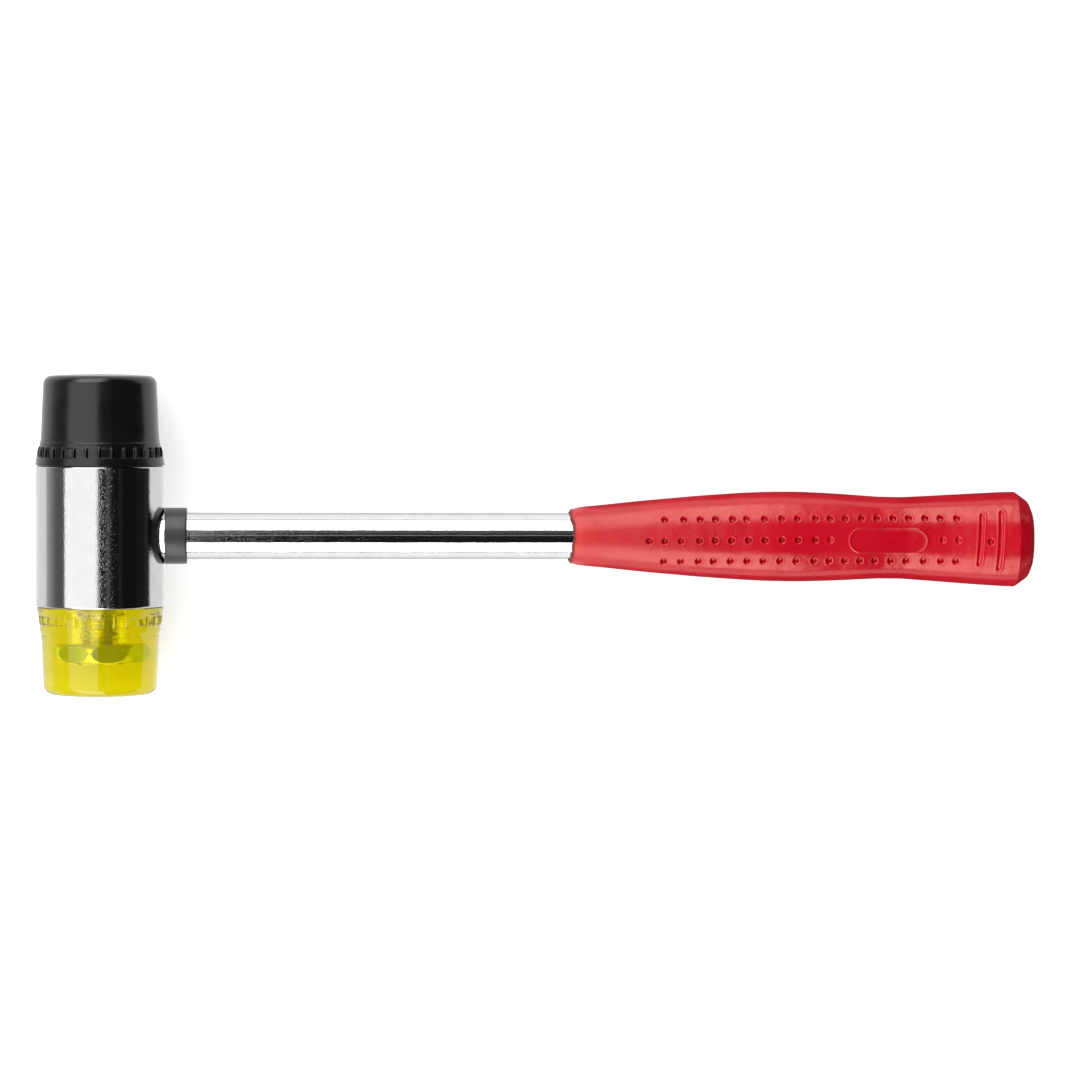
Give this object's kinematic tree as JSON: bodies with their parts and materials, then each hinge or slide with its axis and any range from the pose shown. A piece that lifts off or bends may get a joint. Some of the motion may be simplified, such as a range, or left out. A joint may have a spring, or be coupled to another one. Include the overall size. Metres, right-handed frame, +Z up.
{
  "type": "tinsmith mallet",
  "caption": "Double-faced mallet: steel barrel head with a screw-on rubber face and a screw-on clear plastic face, steel tube handle with a collar and a soft dimpled grip.",
  "frame": {"origin": "on the surface the mallet lies on, under the middle of its outline", "axes": "+Z up, +X along the handle from head to butt, +Y along the head axis towards the rubber face"},
  "size_m": [0.273, 0.087, 0.0352],
  "materials": {
    "chrome": "bright chrome plate on steel, with fine pits",
    "black_rubber": "satin moulded rubber",
    "yellow_plastic": "clear yellow-tinted plastic, polished",
    "zinc_steel": "zinc-plated steel",
    "plain_steel": "plain turned steel",
    "black_plastic": "satin moulded plastic",
    "red_grip": "satin soft plastic with dimples"
  },
  "bodies": {
    "handle": {"head_barrel": "chrome", "handle_tube": "chrome", "tube_plug": "plain_steel", "handle_collar": "black_plastic", "grip_sleeve": "red_grip"},
    "rubber_stud": {"rubber_face_stud": "zinc_steel"},
    "rubber_face": {"rubber_face": "black_rubber", "rubber_face_nut": "zinc_steel"},
    "plastic_stud": {"plastic_face_stud": "zinc_steel"},
    "plastic_face": {"plastic_face": "yellow_plastic", "plastic_face_nut": "zinc_steel"}
  },
  "joints": [
    {"name": "rubber_face_turn", "type": "hinge", "parent": "handle", "child": "rubber_stud", "pos_m": [-0.11887, 0.01885, 0.0176], "axis": [0, 1, 0], "range_deg": [0, 3600]},
    {"name": "rubber_face_travel", "type": "slide", "parent": "rubber_stud", "child": "rubber_face", "axis": [0, 1, 0], "range_m": [0, 0.015]},
    {"name": "plastic_face_turn", "type": "hinge", "parent": "handle", "child": "plastic_stud", "pos_m": [-0.11887, -0.01945, 0.0176], "axis": [0, -1, 0], "range_deg": [0, 3600]},
    {"name": "plastic_face_travel", "type": "slide", "parent": "plastic_stud", "child": "plastic_face", "axis": [0, -1, 0], "range_m": [0, 0.015]}
  ],
  "couplings": [
    {"joint": "rubber_face_travel", "follows": "rubber_face_turn", "m_per_rad": 0.00023873},
    {"joint": "plastic_face_travel", "follows": "plastic_face_turn", "m_per_rad": 0.00023873}
  ]
}
